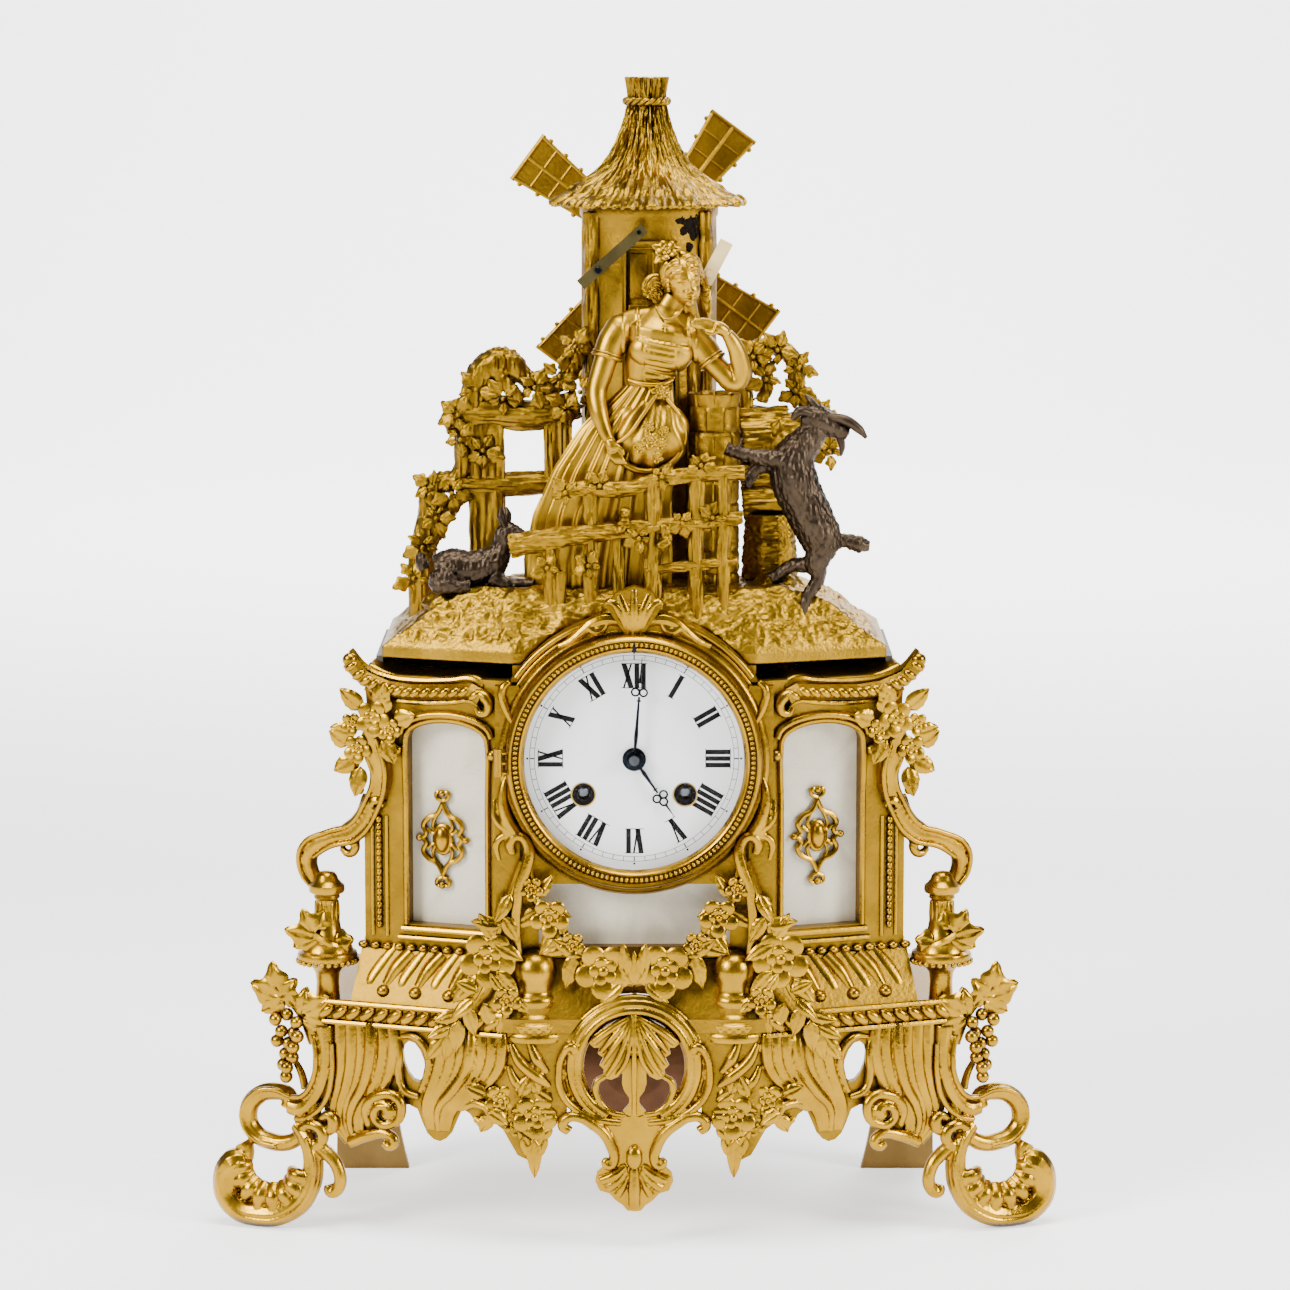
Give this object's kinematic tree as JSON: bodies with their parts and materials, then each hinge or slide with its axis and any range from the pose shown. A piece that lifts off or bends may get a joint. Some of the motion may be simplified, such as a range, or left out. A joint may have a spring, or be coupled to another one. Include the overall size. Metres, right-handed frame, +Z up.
{
  "type": "table clock",
  "caption": "Gilt-bronze table clock: scroll-footed canted base, marble-panelled case with a hinged glazed dial, and a windmill group with a figure and goats on top.",
  "frame": {"origin": "middle of the footprint box, on the table", "axes": "+Z up, the dial faces -Y, +X to the right seen from the front"},
  "size_m": [0.3798, 0.144, 0.5106],
  "materials": {
    "gilt_bronze": "fire-gilt and burnished",
    "chased_gilt_bronze": "gilt, chased to a matt grain",
    "dull_bronze": "ungilded, dull",
    "dark_bronze": "dark patina, rubbed on the high parts",
    "olive_metal": "worn olive",
    "pale_brass": "polished",
    "movement_brass": "satin",
    "movement_steel": "polished",
    "blued_steel": "blackened",
    "sheet_metal": "plain sheet",
    "marble": "polished",
    "enamel": "fired enamel",
    "glass": "clear",
    "bob_bronze": "brown patina"
  },
  "bodies": {
    "clock": {"base_casting": "gilt_bronze", "scroll_foot_left": "gilt_bronze", "scroll_foot_right": "gilt_bronze", "cartouche": "gilt_bronze", "pedestal_left": "gilt_bronze", "pedestal_right": "gilt_bronze", "dial_surround": "gilt_bronze", "wing_frame_left": "gilt_bronze", "wing_frame_right": "gilt_bronze", "side_scroll_left": "gilt_bronze", "side_scroll_right": "gilt_bronze", "panel_ornament_left": "gilt_bronze", "panel_ornament_right": "gilt_bronze", "garland": "gilt_bronze", "figure_dress": "gilt_bronze", "figure_bust": "gilt_bronze", "terrace": "chased_gilt_bronze", "mill_tower": "chased_gilt_bronze", "mill_roof": "chased_gilt_bronze", "fence_front": "chased_gilt_bronze", "fence_rear": "chased_gilt_bronze", "tub": "chased_gilt_bronze", "bank_right": "chased_gilt_bronze", "rear_foot_left": "dull_bronze", "rear_foot_right": "dull_bronze", "goat_standing": "dark_bronze", "goat_lying": "dark_bronze", "tower_bar_left": "olive_metal", "tower_bar_right": "pale_brass", "movement_front_plate": "movement_brass", "movement_back_plate": "movement_brass", "bell": "movement_brass", "case_shell": "sheet_metal", "panel_left": "marble", "panel_right": "marble", "panel_centre": "marble", "dial": "enamel"},
    "minute": {"minute_hand": "blued_steel", "centre_arbor": "movement_steel"},
    "hour": {"hour_hand": "blued_steel", "hour_wheel": "movement_brass"},
    "minute_wheel_body": {"minute_wheel": "movement_brass"},
    "going_drum": {"going_barrel": "movement_brass"},
    "strike_drum": {"strike_barrel": "movement_brass"},
    "going_winder": {"going_arbor": "movement_steel"},
    "strike_winder": {"strike_arbor": "movement_steel"},
    "escape": {"escape_wheel": "movement_brass"},
    "pendulum": {"anchor": "movement_steel", "pendulum_rod": "movement_steel", "pendulum_bob": "bob_bronze"},
    "bezel_frame": {"bezel": "gilt_bronze", "bezel_glass": "glass"},
    "rear_door": {"back_door": "movement_brass"},
    "hammer": {"bell_hammer": "movement_steel"},
    "sails": {"sail_axle": "chased_gilt_bronze", "sail_1": "chased_gilt_bronze", "sail_2": "chased_gilt_bronze", "sail_3": "chased_gilt_bronze", "sail_4": "chased_gilt_bronze"}
  },
  "joints": [
    {"name": "minute_hand_turn", "type": "hinge", "parent": "clock", "child": "minute", "pos_m": [0, 0, 0.2164], "axis": [0, 1, 0], "continuous": true},
    {"name": "minute_wheel_turn", "type": "hinge", "parent": "clock", "child": "minute_wheel_body", "pos_m": [0, 0, 0.2314], "axis": [0, 1, 0], "continuous": true},
    {"name": "hour_hand_turn", "type": "hinge", "parent": "clock", "child": "hour", "pos_m": [0, 0, 0.2164], "axis": [0, 1, 0], "continuous": true},
    {"name": "going_barrel_turn", "type": "hinge", "parent": "clock", "child": "going_drum", "pos_m": [0.0222, 0, 0.2004], "axis": [0, 1, 0], "continuous": true},
    {"name": "strike_barrel_turn", "type": "hinge", "parent": "clock", "child": "strike_drum", "pos_m": [-0.0222, 0, 0.2004], "axis": [0, 1, 0], "continuous": true},
    {"name": "going_arbor_wind", "type": "hinge", "parent": "clock", "child": "going_winder", "pos_m": [0.0222, 0, 0.2004], "axis": [0, 1, 0], "continuous": true},
    {"name": "strike_arbor_wind", "type": "hinge", "parent": "clock", "child": "strike_winder", "pos_m": [-0.0222, 0, 0.2004], "axis": [0, 1, 0], "continuous": true},
    {"name": "escape_wheel_turn", "type": "hinge", "parent": "clock", "child": "escape", "pos_m": [0, 0, 0.2404], "axis": [0, 1, 0], "continuous": true},
    {"name": "pendulum_swing", "type": "hinge", "parent": "clock", "child": "pendulum", "pos_m": [0, 0, 0.254], "axis": [0, 1, 0], "range_deg": [-3.5, 3.5]},
    {"name": "bezel_open", "type": "hinge", "parent": "clock", "child": "bezel_frame", "pos_m": [-0.059, -0.0673, 0.2164], "axis": [0, 0, -1], "range_deg": [0, 105]},
    {"name": "back_door_open", "type": "hinge", "parent": "clock", "child": "rear_door", "pos_m": [-0.043, 0.0613, 0.2164], "axis": [0, 0, 1], "range_deg": [0, 105]},
    {"name": "hammer_strike", "type": "hinge", "parent": "clock", "child": "hammer", "pos_m": [-0.024, 0, 0.2284], "axis": [0, 1, 0], "range_deg": [0, 12]},
    {"name": "sails_turn", "type": "hinge", "parent": "clock", "child": "sails", "pos_m": [0.005, 0.0637, 0.4327], "axis": [0, 1, 0], "continuous": true}
  ],
  "couplings": [
    {"joint": "minute_wheel_turn", "follows": "minute_hand_turn", "ratio": -0.33333},
    {"joint": "hour_hand_turn", "follows": "minute_hand_turn", "ratio": 0.083333}
  ]
}
